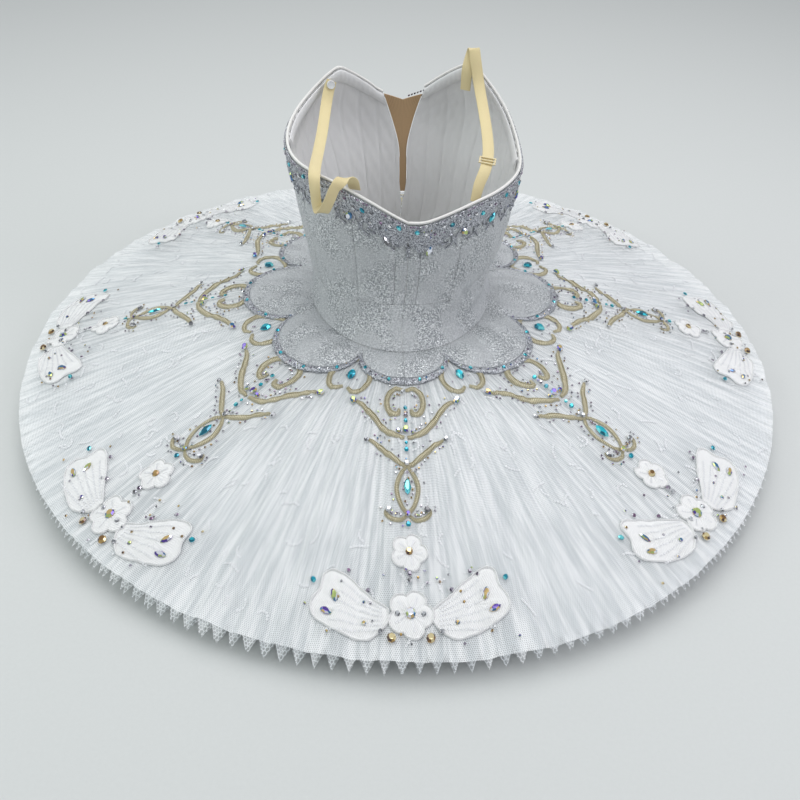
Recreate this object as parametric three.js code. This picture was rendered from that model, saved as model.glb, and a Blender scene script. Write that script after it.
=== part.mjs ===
// A classical pancake tutu that stands on its own: boned brocade bodice with a low back, basque,
// scalloped peplum, a wide plate of stacked net, and plain knickers folded flat underneath.
// Millimetres, +Z up. The origin is on the surface it stands on, under the middle of the plate.
// The centre back faces -Y and the cups face +Y.
// Azimuths are in degrees round the body: 0 at the centre back, positive towards +X, 180 at the front.
import * as THREE from "three";

// ---- driving sizes ----
const SEAM = 0.3; // gap between pieces that are sewn together
const BROCADE = 1.6; // brocade with its backing
const LINING_GAP = 0.5;
const LINING = 1.2;
const NET = 1.2; // one tier of net, its soft folds included
const TOP_NET = 1.4;
const PLATE_RADIUS = 494;
const PLATE_RIM_HEIGHT = 34; // of the top net at its hem
const PLATE_ROOT_HEIGHT = 135.2; // of the top net where it meets the basque
const BASQUE_FOOT = 138;
const TRIM_DROP = 34; // lace band under the neckline
const TRIM_GAP = 0.6;
const TRIM = 1.6;
const PIPING_RADIUS = 1.7;
const CUP_BULGE = 16;
const CUP_AZIMUTH = 146;
const CUP_HEIGHT = 318;
const CUP_SPREAD = 26; // degrees
const CUP_RISE = 42;
const CUP_SEAM = 140; // azimuth of the princess seam over the cup
const INSERT_TOP_EDGE = 167; // azimuth where the cup's top edge meets the nude insert
const STRAP_WIDTH = 13;
const STRAP = 1.2;
const DEGREE = Math.PI / 180;

// Level sections of the bodice and basque: half width, depths behind and before the side line, and
// how far the section sits to the +X side.
const SECTIONS = [
  { z: 136, half: 117, back: 151, front: 88, shift: -1 },
  { z: 150, half: 110, back: 138, front: 88, shift: -3 },
  { z: 165, half: 110, back: 127, front: 87, shift: -3 },
  { z: 182, half: 114, back: 119, front: 88, shift: -1 },
  { z: 200, half: 119, back: 115, front: 90, shift: 1 },
  { z: 240, half: 127, back: 115, front: 98, shift: 2 },
  { z: 285, half: 133, back: 118, front: 106, shift: 1 },
  { z: 330, half: 137, back: 117, front: 110, shift: 0 },
  { z: 390, half: 132, back: 112, front: 106, shift: 0 },
];

// Neckline height by azimuth, on the -X side and on the +X side, as the soft bodice stands.
const NECKLINE = [
  { azimuth: 0, left: 287, right: 287 },
  { azimuth: 8, left: 297, right: 287 },
  { azimuth: 16, left: 307, right: 292 },
  { azimuth: 25, left: 316, right: 298 },
  { azimuth: 35, left: 323, right: 303 },
  { azimuth: 50, left: 326, right: 306 },
  { azimuth: 65, left: 327, right: 308 },
  { azimuth: 80, left: 330, right: 309 },
  { azimuth: 95, left: 336, right: 314 },
  { azimuth: 108, left: 344, right: 328 },
  { azimuth: 120, left: 353, right: 348 },
  { azimuth: 130, left: 364, right: 367 },
  { azimuth: 138, left: 375, right: 381 },
  { azimuth: 144, left: 380, right: 386 },
  { azimuth: 151, left: 372, right: 379 },
  { azimuth: 160, left: 357, right: 364 },
  { azimuth: 168, left: 341, right: 349 },
  { azimuth: 180, left: 334, right: 337 },
];

// Waist seam height by azimuth: it dips towards the front.
const WAIST = [
  { azimuth: 0, z: 184 },
  { azimuth: 45, z: 178 },
  { azimuth: 90, z: 160 },
  { azimuth: 135, z: 154 },
  { azimuth: 180, z: 150 },
];

// Half width of the nude mesh insert between the cups, by height.
const INSERT = [
  { z: 208, half: 1 },
  { z: 236, half: 4.5 },
  { z: 262, half: 4.5 },
  { z: 280, half: 6 },
  { z: 302, half: 11.5 },
  { z: 320, half: 17 },
  { z: 348, half: 26 },
];

// The panels cut for each side of the bodice, from the centre back to the centre front.
const PANELS = [
  { name: "placket", from: 0, to: 6.5, columns: 1 },
  { name: "back", from: 6.5, to: 28, columns: 3 },
  { name: "side_back", from: 28, to: 62, columns: 4 },
  { name: "side", from: 62, to: 100, columns: 4 },
  { name: "side_front", from: 100, to: CUP_SEAM, columns: 5 },
  { name: "cup", from: CUP_SEAM, to: 180, columns: 4 },
];

// Net tiers under the top one, from the top down: height at the root, and radius and height at the hem.
const TIERS = [
  { root: 131.5, radius: 496, hem: 25 },
  { root: 128.5, radius: 494, hem: 16 },
  { root: 124, radius: 476, hem: 10 },
  { root: 118, radius: 430, hem: 8 },
  { root: 110, radius: 374, hem: 6 },
  { root: 98, radius: 310, hem: 4 },
  { root: 82, radius: 246, hem: 2 },
];
const TIER_SECTORS = 32;

// The knickers' level sections, from the basque down to the surface.
const KNICKERS = [
  { z: 133.4, half: 114, back: 147.6, front: 85 },
  { z: 110, half: 119, back: 147, front: 90 },
  { z: 70, half: 123, back: 144, front: 95 },
  { z: 34, half: 120, back: 137, front: 94 },
  { z: 10, half: 115, back: 131, front: 93 },
  { z: 2.2, half: 106, back: 124, front: 86 },
];
const KNICKER_CLOTH = 1.5;
const LEG = { x: 60, y: -18, half: 31, depth: 68 }; // each leg opening, folded flat

// Peplum scallops, eight round the plate.
const SCALLOPS = 8;
const VALLEY_RADIUS = 136; // at the side; deeper at the front, shallower at the back
const VALLEY_SWING = 16;
const TIP_RADIUS = 196;
const BACK_TIP_RADIUS = 186;
const PEPLUM = 1.4;
const PEPLUM_PUFF = 5;
const CORD_WIDTH = 9; // lace cord round each scallop
const CORD = 2.4;

// ---- general helpers ----

// The value of a table's column at a key, on a smooth curve through the rows.
function along(table, key, column, at) {
  const last = table.length - 1;
  let i = 0;
  while (i < last - 1 && at > table[i + 1][key]) i += 1;
  const slope = (j) => {
    const a = table[Math.max(j - 1, 0)];
    const b = table[Math.min(j + 1, last)];
    return (b[column] - a[column]) / (b[key] - a[key]);
  };
  const low = table[i];
  const high = table[i + 1];
  const span = high[key] - low[key];
  const t = THREE.MathUtils.clamp((at - low[key]) / span, 0, 1);
  const t2 = t * t;
  const t3 = t2 * t;
  return (
    (2 * t3 - 3 * t2 + 1) * low[column] +
    (t3 - 2 * t2 + t) * span * slope(i) +
    (3 * t2 - 2 * t3) * high[column] +
    (t3 - t2) * span * slope(i + 1)
  );
}

// Evenly spaced numbers, both ends included.
function spaced(from, to, steps) {
  return Array.from({ length: steps + 1 }, (_, i) => from + ((to - from) * i) / steps);
}

// Six times the volume inside the triangles, negative when they face inwards.
function signedVolume(points, triangles) {
  let sum = 0;
  for (const [a, b, c] of triangles) {
    sum += points[a].dot(points[b].clone().cross(points[c]));
  }
  return sum;
}

function meshOf(name, finish, points, triangles) {
  const outward = signedVolume(points, triangles) > 0;
  const geometry = new THREE.BufferGeometry().setFromPoints(points);
  geometry.setIndex(triangles.flatMap(([a, b, c]) => (outward ? [a, b, c] : [a, c, b])));
  geometry.computeVertexNormals();
  const mesh = new THREE.Mesh(geometry, finish);
  mesh.name = name;
  return mesh;
}

// A closed cloth wall between two faces, each given as rows of points. A round wall joins its last
// column to its first.
function wall(name, finish, outer, inner, round = false) {
  const rows = outer.length;
  const columns = outer[0].length;
  const points = [...outer.flat(), ...inner.flat()];
  const near = (row, column) => row * columns + (column % columns);
  const far = (row, column) => rows * columns + near(row, column);
  const triangles = [];
  const quad = (a, b, c, d) => triangles.push([a, b, c], [a, c, d]);
  const spans = round ? columns : columns - 1;
  for (let row = 0; row < rows - 1; row += 1) {
    for (let i = 0; i < spans; i += 1) {
      quad(near(row, i), near(row, i + 1), near(row + 1, i + 1), near(row + 1, i));
      quad(far(row, i), far(row + 1, i), far(row + 1, i + 1), far(row, i + 1));
    }
  }
  for (let i = 0; i < spans; i += 1) {
    quad(near(0, i), far(0, i), far(0, i + 1), near(0, i + 1));
    quad(near(rows - 1, i), near(rows - 1, i + 1), far(rows - 1, i + 1), far(rows - 1, i));
  }
  if (!round) {
    for (let row = 0; row < rows - 1; row += 1) {
      quad(near(row, 0), near(row + 1, 0), far(row + 1, 0), far(row, 0));
      const end = columns - 1;
      quad(near(row, end), far(row, end), far(row + 1, end), near(row + 1, end));
    }
  }
  return meshOf(name, finish, points, triangles);
}

// A closed bar through loops that each have the same number of points.
function loft(name, finish, loops) {
  const count = loops[0].length;
  const points = loops.flat();
  const triangles = [];
  for (let row = 0; row < loops.length - 1; row += 1) {
    for (let i = 0; i < count; i += 1) {
      const next = (i + 1) % count;
      const a = row * count + i;
      const b = row * count + next;
      triangles.push([a, b, b + count], [a, b + count, a + count]);
    }
  }
  const end = (loops.length - 1) * count;
  for (let i = 1; i < count - 1; i += 1) {
    triangles.push([0, i + 1, i], [end, end + i, end + i + 1]);
  }
  return meshOf(name, finish, points, triangles);
}

// ---- the body's form ----

// Outward fullness of a cup at an azimuth and height.
function cupFullness(azimuth, z) {
  const across = (Math.abs(azimuth) - CUP_AZIMUTH) / CUP_SPREAD;
  const up = (z - CUP_HEIGHT) / CUP_RISE;
  return CUP_BULGE * Math.exp(-across * across - up * up);
}

// A point on the bodice or basque, moved out by an offset.
function bodyPoint(azimuth, z, offset) {
  const angle = azimuth * DEGREE;
  const out = offset + cupFullness(azimuth, z);
  const depth = Math.cos(angle) > 0 ? "back" : "front";
  const half = along(SECTIONS, "z", "half", z) + out;
  const reach = along(SECTIONS, "z", depth, z) + out;
  const shift = along(SECTIONS, "z", "shift", z);
  return new THREE.Vector3(shift + half * Math.sin(angle), -reach * Math.cos(angle), z);
}

const neckHeight = (azimuth) =>
  along(NECKLINE, "azimuth", azimuth < 0 ? "left" : "right", Math.abs(azimuth));
const waistHeight = (azimuth) => along(WAIST, "azimuth", "z", Math.abs(azimuth));

// Heights of the rows of a bodice panel: even up to the lace band, then two rows for the band.
function panelRows(azimuth) {
  const bandFoot = neckHeight(azimuth) - TRIM_DROP;
  const body = spaced(waistHeight(azimuth) + SEAM / 2, bandFoot, 5);
  return [...body, bandFoot + TRIM_DROP / 2, bandFoot + TRIM_DROP];
}

// Heights of the rows of the basque.
const basqueRows = (azimuth) => spaced(BASQUE_FOOT, waistHeight(azimuth) - SEAM / 2, 2);

// Azimuth of the insert's edge at a height, on the +X side.
function insertEdge(z) {
  const half = z < INSERT[0].z ? 0 : along(INSERT, "z", "half", z);
  const reach = along(SECTIONS, "z", "half", z) + cupFullness(180, z);
  return 180 - Math.asin(half / reach) / DEGREE;
}

// The cup panel's columns, from its seam to 180, close up to the insert's edge.
function cupAzimuth(column, edge) {
  return column <= CUP_SEAM ? column : CUP_SEAM + ((column - CUP_SEAM) / (180 - CUP_SEAM)) * (edge - CUP_SEAM);
}
const neckAzimuth = (column) => cupAzimuth(column, INSERT_TOP_EDGE);

// Rows of points over a range of columns on one side (side is -1 for -X).
function sideFace(side, columns, rowsAt, offset) {
  const count = rowsAt(side * columns[0]).length;
  return spaced(0, count - 1, count - 1).map((row) =>
    columns.map((column) => {
      const z = rowsAt(side * neckAzimuth(column))[row];
      const azimuth = cupAzimuth(column, insertEdge(z) - SEAM / 2);
      return bodyPoint(side * azimuth, z, offset);
    }),
  );
}

// ---- finishes ----
const finish = (color, roughness, metalness) =>
  new THREE.MeshStandardMaterial({ color, roughness, metalness });
const brocade = finish(0xc4c8cb, 0.45, 0.5);
const satin = finish(0xdedcdc, 0.5, 0);
const lace = finish(0x9aa0a8, 0.4, 0.6);
const netting = finish(0xe9edef, 0.85, 0);
const nude = finish(0xc8a57d, 0.8, 0);
const elastic = finish(0xe4d091, 0.75, 0);
const cotton = finish(0xeeeeea, 0.8, 0);
const clearPlastic = finish(0xdfe4e6, 0.15, 0);

const tutu = new THREE.Group();
const SIDES = [
  { side: -1, label: "left" },
  { side: 1, label: "right" },
];

// ---- bodice, basque, lining, trims and cup bands ----
const seamShift = SEAM / 2 / 2; // degrees that open a seam by about half its gap
function panelColumns(panel) {
  const first = panel.from + seamShift;
  const final = panel.to === 180 ? 180 : panel.to - seamShift;
  return spaced(first, final, panel.columns);
}
const halfColumns = PANELS.flatMap((panel) => spaced(panel.from, panel.to, panel.columns).slice(1));
const sideColumns = [seamShift, ...halfColumns];
const CENTRE_SPLIT = 11; // the lining's side seam, counted in columns

for (const { side, label } of SIDES) {
  for (const panel of PANELS) {
    const columns = panelColumns(panel);
    const outer = sideFace(side, columns, panelRows, 0);
    const inner = sideFace(side, columns, panelRows, -BROCADE);
    tutu.add(wall(`bodice_${panel.name}_${label}`, brocade, outer, inner));
  }

  const basqueColumns = [...sideColumns.slice(0, -1), 180 - seamShift];
  const basqueOuter = sideFace(side, basqueColumns, basqueRows, 0);
  const basqueInner = sideFace(side, basqueColumns, basqueRows, -BROCADE);
  tutu.add(wall(`basque_${label}`, brocade, basqueOuter, basqueInner));

  const liningRows = (azimuth) => [...basqueRows(azimuth).slice(0, 2), ...panelRows(azimuth)];
  const liningParts = [
    { name: "lining_back", columns: sideColumns.slice(0, CENTRE_SPLIT) },
    { name: "lining_front", columns: sideColumns.slice(CENTRE_SPLIT - 1) },
  ];
  liningParts[1].columns[0] += 2 * seamShift;
  for (const part of liningParts) {
    const face = -BROCADE - LINING_GAP;
    const outer = sideFace(side, part.columns, liningRows, face);
    const inner = sideFace(side, part.columns, liningRows, face - LINING);
    tutu.add(wall(`${part.name}_${label}`, satin, outer, inner));
  }

  const trimRows = (azimuth) => panelRows(azimuth).slice(-3);
  const trimOuter = sideFace(side, sideColumns, trimRows, TRIM_GAP + TRIM);
  const trimInner = sideFace(side, sideColumns, trimRows, TRIM_GAP);
  tutu.add(wall(`neck_lace_${label}`, lace, trimOuter, trimInner));

  // The padded band inside each cup's top edge.
  const bandRows = (azimuth) => panelRows(azimuth).slice(-2);
  const bandColumns = sideColumns.filter((column) => column > 88);
  const bandFace = -BROCADE - LINING_GAP - LINING - LINING_GAP;
  const bandOuter = sideFace(side, bandColumns, bandRows, bandFace);
  const bandInner = sideFace(side, bandColumns, bandRows, bandFace - 3);
  tutu.add(wall(`cup_band_${label}`, satin, bandOuter, bandInner));
}

// ---- nude mesh insert: each edge keeps to the rows of the cup panel beside it ----
const INSERT_ROWS = 6;
function insertFace(offset) {
  const edges = SIDES.map(({ side }) =>
    panelRows(side * INSERT_TOP_EDGE)
      .slice(-INSERT_ROWS)
      .map((z) => bodyPoint(side * (insertEdge(z) + SEAM / 2), z, offset)),
  );
  const middles = panelRows(180).slice(-INSERT_ROWS);
  return middles.map((z, row) => [edges[0][row], bodyPoint(180, z, offset), edges[1][row]]);
}
tutu.add(wall("nude_insert", nude, insertFace(0), insertFace(-NET)));

// ---- piping round the neckline ----
for (const { side, label } of SIDES) {
  const loops = sideColumns.map((column) => {
    const z = neckHeight(side * neckAzimuth(column));
    const azimuth = side * cupAzimuth(column, insertEdge(z) - SEAM / 2);
    return spaced(0, 360, 6).slice(1).map((turn) => {
      const out = PIPING_RADIUS * Math.cos(turn * DEGREE) - BROCADE;
      const up = PIPING_RADIUS * (1 + Math.sin(turn * DEGREE)) + SEAM;
      return bodyPoint(azimuth, z, out).setZ(z + up);
    });
  });
  tutu.add(loft(`neck_piping_${label}`, satin, loops));
}

// ---- net tiers ----

// A point on a ring between the basque's foot and a round hem, t from 0 to 1.
function skirtPoint(azimuth, t, root, hemRadius, z) {
  const start = bodyPoint(azimuth, BASQUE_FOOT, root);
  const end = new THREE.Vector3(
    hemRadius * Math.sin(azimuth * DEGREE),
    -hemRadius * Math.cos(azimuth * DEGREE),
    0,
  );
  return start.lerp(end, t).setZ(z);
}

// The hem is very slightly uneven, as hand-set net is.
const hemRadius = (azimuth) =>
  PLATE_RADIUS + 2.5 * Math.sin(3 * azimuth * DEGREE + 0.6) + 1.5 * Math.sin(5 * azimuth * DEGREE);

// Height of the top net by how far out it is.
const PLATE_PROFILE = [
  { t: 0, drop: 0 },
  { t: 0.36, drop: 0.27 },
  { t: 0.7, drop: 0.64 },
  { t: 1, drop: 1 },
];
const plateHeight = (t) =>
  PLATE_ROOT_HEIGHT -
  (PLATE_ROOT_HEIGHT - PLATE_RIM_HEIGHT) * along(PLATE_PROFILE, "t", "drop", t);

const ROOT_INSET = -BROCADE;
const ring = (sectors) => spaced(0, 360, sectors).slice(0, -1).map((a) => a - 180);
function topNetFace(down) {
  return PLATE_PROFILE.map(({ t }) =>
    ring(48).map((azimuth) =>
      skirtPoint(azimuth, t, ROOT_INSET, hemRadius(azimuth), plateHeight(t) - down),
    ),
  );
}
tutu.add(wall("net_top", netting, topNetFace(0), topNetFace(TOP_NET), true));

TIERS.forEach((tier, index) => {
  const face = (down) =>
    [0, 1].map((t) =>
      ring(TIER_SECTORS).map((azimuth) => {
        const z = THREE.MathUtils.lerp(tier.root, tier.hem, t) - down;
        return t === 0 ? knickerPoint(azimuth, z, 1.2) : skirtPoint(azimuth, t, 0, tier.radius, z);
      }),
    );
  tutu.add(wall(`net_tier_${index + 2}`, netting, face(0), face(NET), true));
});

// ---- knickers ----
function knickerPoint(azimuth, z, offset) {
  const table = KNICKERS.toReversed();
  const angle = azimuth * DEGREE;
  const depth = Math.cos(angle) > 0 ? "back" : "front";
  const half = along(table, "z", "half", z) + offset;
  const reach = along(table, "z", depth, z) + offset;
  return new THREE.Vector3(half * Math.sin(angle), -reach * Math.cos(angle), z);
}
const KNICKER_PARTS = [
  { name: "knickers_back", from: -90, to: 90 },
  { name: "knickers_front", from: 90, to: 270 },
];
for (const part of KNICKER_PARTS) {
  const columns = spaced(part.from + seamShift, part.to - seamShift, 16);
  const face = (offset) =>
    KNICKERS.map(({ z }) => columns.map((azimuth) => knickerPoint(azimuth, z, offset)));
  tutu.add(wall(part.name, cotton, face(0), face(-KNICKER_CLOTH)));
}

// The gusset and leg edges, folded flat on the surface, with the two leg openings.
const outline = ring(TIER_SECTORS).map((azimuth) => {
  const point = knickerPoint(azimuth, KNICKERS.at(-1).z, -0.2);
  return new THREE.Vector2(point.x, point.y);
});
const gussetShape = new THREE.Shape(outline);
for (const side of [-1, 1]) {
  const hole = new THREE.Path();
  hole.absellipse(side * LEG.x, LEG.y, LEG.half, LEG.depth, 0, 2 * Math.PI);
  gussetShape.holes.push(hole);
}
const gussetOptions = { depth: 1.8, bevelEnabled: false, curveSegments: 10 };
const gusset = new THREE.Mesh(new THREE.ExtrudeGeometry(gussetShape, gussetOptions), cotton);
gusset.name = "knickers_gusset";
tutu.add(gusset);

// ---- peplum and its lace cord ----

// Radius of the scalloped edge at an azimuth.
function scallopRadius(azimuth) {
  const pitch = 360 / SCALLOPS;
  const swing = Math.abs(azimuth - pitch * Math.round(azimuth / pitch)) / (pitch / 2);
  const tip = Math.abs(azimuth) < pitch / 2 ? BACK_TIP_RADIUS : TIP_RADIUS;
  const valley = VALLEY_RADIUS + VALLEY_SWING * Math.cos(azimuth * DEGREE);
  return valley + (tip - valley) * Math.pow(1 - swing * swing, 0.6);
}

// How far out on the plate a radius lies at an azimuth.
function plateShare(azimuth, radius) {
  const start = bodyPoint(azimuth, BASQUE_FOOT, ROOT_INSET);
  const root = Math.hypot(start.x, start.y);
  return (radius - root) / (hemRadius(azimuth) - root);
}

function peplumPoint(azimuth, radius, lift) {
  const t = plateShare(azimuth, radius);
  return skirtPoint(azimuth, t, ROOT_INSET, hemRadius(azimuth), plateHeight(t) + lift);
}

for (const { side, label } of SIDES) {
  const azimuths = spaced(seamShift, 180 - seamShift, 24).map((azimuth) => side * azimuth);
  const face = (lift) =>
    [0, 0.3, 0.7, 1].map((share) =>
      azimuths.map((azimuth) => {
        const reach = plateShare(azimuth, scallopRadius(azimuth)) * share;
        const puff = PEPLUM_PUFF * Math.sin(Math.PI * share) * Math.min(1, 6 * reach);
        const rise = lift + puff;
        const radius = hemRadius(azimuth);
        return skirtPoint(azimuth, reach, ROOT_INSET, radius, plateHeight(reach) + rise);
      }),
    );
  tutu.add(wall(`peplum_${label}`, brocade, face(0.6 + PEPLUM), face(0.6)));

  const cordFace = (lift) =>
    [SEAM, CORD_WIDTH].map((reach) =>
      azimuths.map((azimuth) => peplumPoint(azimuth, scallopRadius(azimuth) + reach, lift)),
    );
  tutu.add(wall(`peplum_lace_${label}`, lace, cordFace(0.6 + CORD), cordFace(0.6)));
}

// ---- shoulder straps, button and slider ----

// Where a strap is at a share of its length: its middle, the way it runs, the way its width points
// and the way its face points. Each row of a strap's table gives a point on its middle line and
// the turn of its width, in degrees from +X about Z.
function strapFrame(rows, t) {
  const curve = new THREE.CatmullRomCurve3(rows.map((r) => new THREE.Vector3(r.x, r.y, r.z)));
  const at = t * (rows.length - 1);
  const before = Math.min(Math.floor(at), rows.length - 2);
  const turns = [rows[before].turn, rows[before + 1].turn];
  const turn = THREE.MathUtils.lerp(...turns, at - before) * DEGREE;
  const travel = curve.getTangent(t);
  const across = new THREE.Vector3(Math.cos(turn), Math.sin(turn), 0);
  across.addScaledVector(travel, -across.dot(travel)).normalize();
  const face = travel.clone().cross(across).normalize();
  return { middle: curve.getPoint(t), travel, across, face };
}

// A flat strap through its table's points.
function strap(name, rows) {
  const corners = [[-1, -1], [1, -1], [1, 1], [-1, 1]];
  const loops = spaced(0, 1, (rows.length - 1) * 2).map((t) => {
    const { middle, across, face } = strapFrame(rows, t);
    return corners.map(([a, b]) =>
      middle
        .clone()
        .addScaledVector(across, (a * STRAP_WIDTH) / 2)
        .addScaledVector(face, (b * STRAP) / 2),
    );
  });
  return loft(name, elastic, loops);
}

// Turns a mesh drawn in its own XY plane to lie on one face of a strap, just clear of it.
function layOnStrap(mesh, rows, t, way) {
  const { middle, travel, across, face } = strapFrame(rows, t);
  const normal = face.clone().multiplyScalar(way);
  const up = travel.clone().multiplyScalar(-way);
  mesh.matrixAutoUpdate = false;
  mesh.matrix.makeBasis(across, up, across.clone().cross(up));
  mesh.matrix.setPosition(middle.addScaledVector(normal, STRAP / 2 + SEAM));
  return mesh;
}

const LEFT_STRAP = [
  { x: -86, y: 71, z: 372, turn: 30 },
  { x: -90, y: 64, z: 361, turn: 14 },
  { x: -93, y: 48, z: 348, turn: 6 },
  { x: -96, y: 10, z: 335, turn: 0 },
  { x: -99, y: -35, z: 330, turn: -4 },
  { x: -100, y: -70, z: 333, turn: -14 },
  { x: -100, y: -95, z: 333, turn: -24 },
  { x: -99, y: -106, z: 320, turn: -30 },
  { x: -97, y: -109, z: 304, turn: -26 },
  { x: -91, y: -117, z: 302, turn: -4 },
  { x: -84, y: -121, z: 316, turn: 20 },
  { x: -77, y: -118, z: 331, turn: 30 },
  { x: -68, y: -109, z: 336, turn: 24 },
  { x: -60, y: -101, z: 331, turn: 4 },
  { x: -57, y: -92, z: 316, turn: -16 },
];
tutu.add(strap("strap_left", LEFT_STRAP));

const RIGHT_STRAP = [
  { x: 73, y: 73, z: 362, turn: -34 },
  { x: 74, y: 76, z: 386, turn: -22 },
  { x: 79, y: 85, z: 402, turn: -8 },
  { x: 81, y: 82, z: 407, turn: -6 },
  { x: 83, y: 76, z: 397, turn: -4 },
  { x: 88, y: 64, z: 372, turn: 0 },
  { x: 92, y: 40, z: 354, turn: 6 },
  { x: 94, y: 5, z: 341, turn: 10 },
  { x: 93, y: -30, z: 332, turn: 14 },
  { x: 88, y: -58, z: 326, turn: 18 },
  { x: 80, y: -74, z: 313, turn: 22 },
  { x: 76, y: -82, z: 297, turn: 30 },
];
tutu.add(strap("strap_right", RIGHT_STRAP));

const BUTTON = { radius: 5, height: 2.4 };
const buttonProfile = [
  new THREE.Vector2(0, 0),
  new THREE.Vector2(BUTTON.radius, 0),
  new THREE.Vector2(BUTTON.radius, BUTTON.height * 0.6),
  new THREE.Vector2(BUTTON.radius * 0.7, BUTTON.height),
  new THREE.Vector2(0, BUTTON.height),
];
const buttonForm = new THREE.LatheGeometry(buttonProfile, 12).rotateX(Math.PI / 2);
const button = new THREE.Mesh(buttonForm, clearPlastic);
button.name = "strap_button";
tutu.add(layOnStrap(button, LEFT_STRAP, 0.02, 1));

// The slider is a rectangular eight, three bars across two slots, that lies on the right strap.
const SLIDER = { width: 19, height: 12, bar: 2, depth: 1.8 };
const sliderShape = new THREE.Shape();
sliderShape.moveTo(-SLIDER.width / 2, -SLIDER.height / 2);
sliderShape.lineTo(SLIDER.width / 2, -SLIDER.height / 2);
sliderShape.lineTo(SLIDER.width / 2, SLIDER.height / 2);
sliderShape.lineTo(-SLIDER.width / 2, SLIDER.height / 2);
sliderShape.closePath();
const slotHeight = (SLIDER.height - 3 * SLIDER.bar) / 2;
for (const way of [-1, 1]) {
  const middle = (way * (slotHeight + SLIDER.bar)) / 2;
  const slot = new THREE.Path();
  slot.moveTo(-SLIDER.width / 2 + SLIDER.bar, middle - slotHeight / 2);
  slot.lineTo(-SLIDER.width / 2 + SLIDER.bar, middle + slotHeight / 2);
  slot.lineTo(SLIDER.width / 2 - SLIDER.bar, middle + slotHeight / 2);
  slot.lineTo(SLIDER.width / 2 - SLIDER.bar, middle - slotHeight / 2);
  slot.closePath();
  sliderShape.holes.push(slot);
}
const sliderOptions = { depth: SLIDER.depth, bevelEnabled: false };
const slider = new THREE.Mesh(new THREE.ExtrudeGeometry(sliderShape, sliderOptions), elastic);
slider.name = "strap_slider";
tutu.add(layOnStrap(slider, RIGHT_STRAP, 0.79, 1));

export default tutu;
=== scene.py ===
"""A classical pancake tutu: boned bodice, scalloped peplum, plate of net, stones, gold cord and lace.

Tables and sizes are in millimetres and degrees, as the pattern is, and turn to metres as each mesh is made.
Azimuths run round the body: 0 at the centre back (-Y), positive towards +X, 180 at the front.
"""

import math

import bpy
import numpy as np
from mathutils import Matrix, Vector


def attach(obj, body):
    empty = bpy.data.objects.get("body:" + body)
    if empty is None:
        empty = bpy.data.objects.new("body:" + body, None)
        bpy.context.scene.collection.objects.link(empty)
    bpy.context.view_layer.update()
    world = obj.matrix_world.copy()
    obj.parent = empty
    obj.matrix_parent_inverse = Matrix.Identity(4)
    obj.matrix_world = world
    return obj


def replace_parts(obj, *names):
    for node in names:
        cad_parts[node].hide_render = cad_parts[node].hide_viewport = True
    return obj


bl_info = {
    "name": "Ballet tutu",
    "version": (1, 0, 0),
    "blender": (4, 5, 0),
    "location": "3D View > Sidebar > Tutu",
    "description": "Builds a brocade bodice, peplum and plate of net with stones, gold cord and lace",
    "category": "Object",
}

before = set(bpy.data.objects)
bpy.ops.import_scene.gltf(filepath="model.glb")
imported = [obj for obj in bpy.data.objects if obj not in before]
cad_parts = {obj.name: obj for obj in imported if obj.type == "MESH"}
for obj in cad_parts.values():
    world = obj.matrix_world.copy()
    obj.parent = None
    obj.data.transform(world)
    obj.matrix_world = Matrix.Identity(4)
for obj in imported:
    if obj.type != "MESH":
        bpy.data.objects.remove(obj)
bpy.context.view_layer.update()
BODY = "root"
MM = 0.001
REPEATS = 8
PITCH = 360 / REPEATS

# ---- the garment's form ----


def table(columns, *rows):
    return dict(zip(columns.split(), np.array(rows, float).T))


SECTIONS = table("z half back front shift",
                 (136, 117, 151, 88, -1), (150, 110, 138, 88, -3), (165, 110, 127, 87, -3),
                 (182, 114, 119, 88, -1), (200, 119, 115, 90, 1), (240, 127, 115, 98, 2),
                 (285, 133, 118, 106, 1), (330, 137, 117, 110, 0), (390, 132, 112, 106, 0))
NECKLINE = table("azimuth left right",
                 (0, 287, 287), (8, 297, 287), (16, 307, 292), (25, 316, 298), (35, 323, 303),
                 (50, 326, 306), (65, 327, 308), (80, 330, 309), (95, 336, 314), (108, 344, 328),
                 (120, 353, 348), (130, 364, 367), (138, 375, 381), (144, 380, 386),
                 (151, 372, 379), (160, 357, 364), (168, 341, 349), (180, 334, 337))
WAIST = table("azimuth z", (0, 184), (45, 178), (90, 160), (135, 154), (180, 150))
INSERT = table("z half", (208, 1), (236, 4.5), (262, 4.5), (280, 6), (302, 11.5), (320, 17), (348, 26))
KNICKERS = table("z half back front", (2.2, 106, 124, 86), (10, 115, 131, 93), (34, 120, 137, 94),
                 (70, 123, 144, 95), (110, 119, 147, 90), (133.4, 114, 147.6, 85))
PLATE = table("t drop", (0, 0), (0.36, 0.27), (0.7, 0.64), (1, 1))
PANELS = (("placket", 0, 6.5), ("back", 6.5, 28), ("side_back", 28, 62), ("side", 62, 100),
          ("side_front", 100, 140), ("cup", 140, 180))
TIERS = ((131.5, 496, 25), (128.5, 494, 16), (124, 476, 10), (118, 430, 8), (110, 374, 6),
         (98, 310, 4), (82, 246, 2))  # root height, hem radius and hem height, from the top down
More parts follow.
